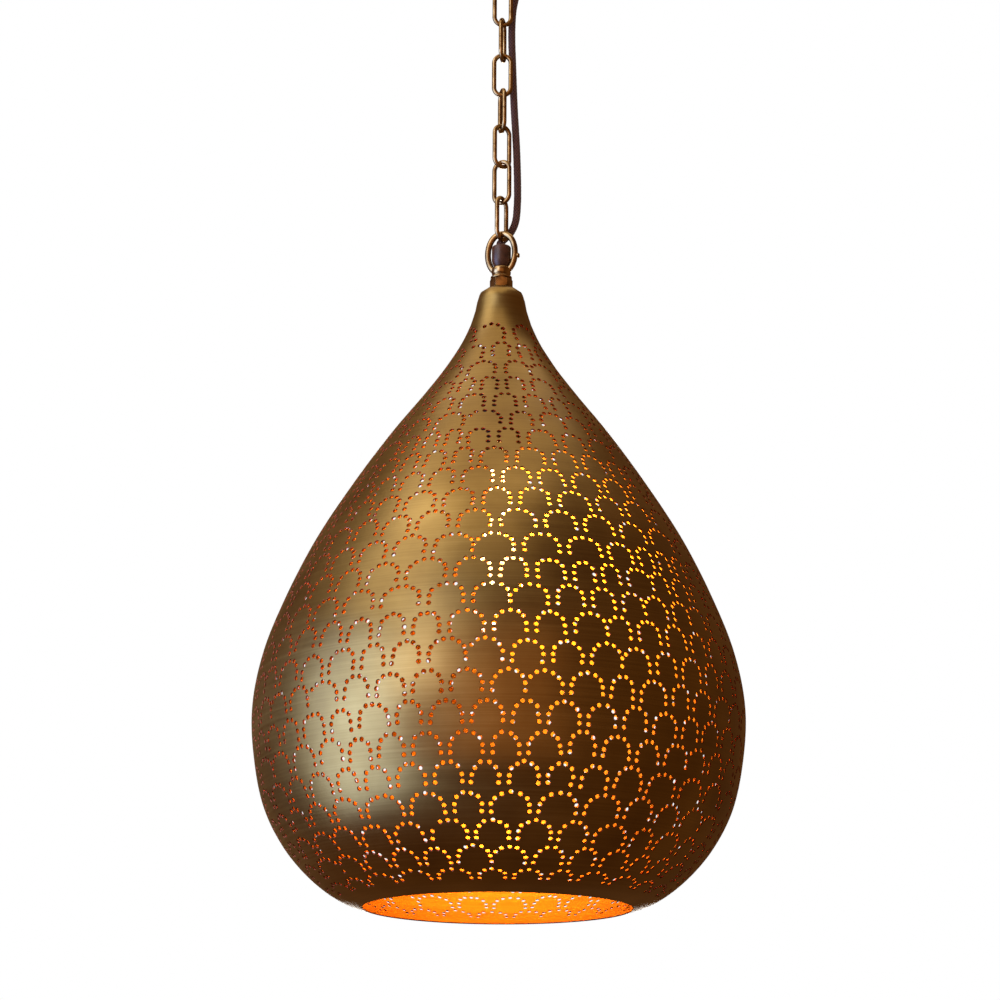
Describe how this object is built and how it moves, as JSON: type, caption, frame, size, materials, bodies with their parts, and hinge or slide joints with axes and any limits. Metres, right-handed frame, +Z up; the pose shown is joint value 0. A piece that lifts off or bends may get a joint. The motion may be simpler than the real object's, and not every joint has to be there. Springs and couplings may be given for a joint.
{
  "type": "hanging lantern",
  "caption": "Teardrop pendant lantern of punched brass on a link chain with a braided flex, a ceiling rose and a clear bulb inside.",
  "frame": {"origin": "centre of the bracket's top face, where it lies on the ceiling", "axes": "+Z up into the ceiling, lantern hanging along -Z; -Y towards the front view, +X to its right"},
  "size_m": [0.4, 0.4, 0.9107],
  "materials": {
    "brushed_brass": "brushed, aged",
    "aged_brass": "antique",
    "zinced_steel": "zinc plated",
    "plain_brass": "turned",
    "brown_plastic": "moulded",
    "black_plastic": "moulded",
    "white_plastic": "moulded",
    "ceramic": "glazed",
    "flex_braid": "braided",
    "nickel": "plated",
    "bulb_glass": "clear",
    "filament": "glowing"
  },
  "bodies": {
    "rose": {"ceiling_bracket": "zinced_steel", "canopy": "brushed_brass", "canopy_screw_right": "aged_brass", "canopy_screw_left": "aged_brass", "stem": "plain_brass", "stem_washer": "zinced_steel", "stem_locknut": "zinced_steel", "rose_loop": "aged_brass", "flex_bushing": "brown_plastic", "terminal_block": "white_plastic", "terminal_screw_1": "plain_brass", "terminal_screw_2": "plain_brass", "terminal_screw_3": "plain_brass", "earth_screw": "plain_brass"},
    "link_1": {"link_1": "aged_brass", "flex_1": "flex_braid"},
    "link_2": {"link_2": "aged_brass", "flex_2": "flex_braid"},
    "link_3": {"link_3": "aged_brass", "flex_3": "flex_braid"},
    "link_4": {"link_4": "aged_brass", "flex_4": "flex_braid"},
    "link_5": {"link_5": "aged_brass", "flex_5": "flex_braid"},
    "link_6": {"link_6": "aged_brass", "flex_6": "flex_braid"},
    "link_7": {"link_7": "aged_brass", "flex_7": "flex_braid"},
    "lamp": {"lamp_loop": "aged_brass", "loop_grub_screw": "aged_brass", "cord_grip": "brown_plastic", "top_nut": "aged_brass", "shade": "brushed_brass", "hanger_tube": "plain_brass", "neck_washer": "zinced_steel", "neck_locknut": "zinced_steel", "lamp_lead": "black_plastic", "holder_cap": "black_plastic", "holder_body": "black_plastic", "holder_ring": "black_plastic", "holder_insert": "ceramic", "holder_contact": "plain_brass", "flex_8": "flex_braid"},
    "bulb": {"bulb_cap": "nickel", "bulb_contact": "nickel", "bulb_glass": "bulb_glass", "bulb_stem": "bulb_glass", "bulb_filament": "filament"}
  },
  "joints": [
    {"name": "link_1_swing", "type": "hinge", "parent": "rose", "child": "link_1", "pos_m": [0, 0, -0.1018], "axis": [0.0698, -0.9976, 0], "range_deg": [-45, 45], "deforming": ["flex_1"]},
    {"name": "link_2_swing", "type": "hinge", "parent": "link_1", "child": "link_2", "pos_m": [0, 0, -0.135], "axis": [0.9903, 0.1392, 0], "range_deg": [-30, 30], "deforming": ["flex_2"]},
    {"name": "link_3_swing", "type": "hinge", "parent": "link_2", "child": "link_3", "pos_m": [0, 0, -0.16885], "axis": [0.2079, 0.9781, 0], "range_deg": [-30, 30], "deforming": ["flex_3"]},
    {"name": "link_4_swing", "type": "hinge", "parent": "link_3", "child": "link_4", "pos_m": [0, 0, -0.2027], "axis": [-1, 0, 0], "range_deg": [-30, 30], "deforming": ["flex_4"]},
    {"name": "link_5_swing", "type": "hinge", "parent": "link_4", "child": "link_5", "pos_m": [0, 0, -0.23655], "axis": [0.2588, -0.9659, 0], "range_deg": [-30, 30], "deforming": ["flex_5"]},
    {"name": "link_6_swing", "type": "hinge", "parent": "link_5", "child": "link_6", "pos_m": [0, 0, -0.2704], "axis": [0.866, 0.5, 0], "range_deg": [-20, 20], "deforming": ["flex_6"]},
    {"name": "link_7_swing", "type": "hinge", "parent": "link_6", "child": "link_7", "pos_m": [0, 0, -0.30425], "axis": [-0.8829, 0.4695, 0], "range_deg": [-30, 30], "deforming": ["flex_7"]},
    {"name": "lamp_swing", "type": "hinge", "parent": "link_7", "child": "lamp", "pos_m": [0, 0, -0.3381], "axis": [0.5446, 0.8387, 0], "range_deg": [-35, 35], "deforming": ["flex_8"]},
    {"name": "bulb_turn", "type": "hinge", "parent": "lamp", "child": "bulb", "pos_m": [0, 0, -0.51075], "axis": [0, 0, 1], "continuous": true}
  ]
}
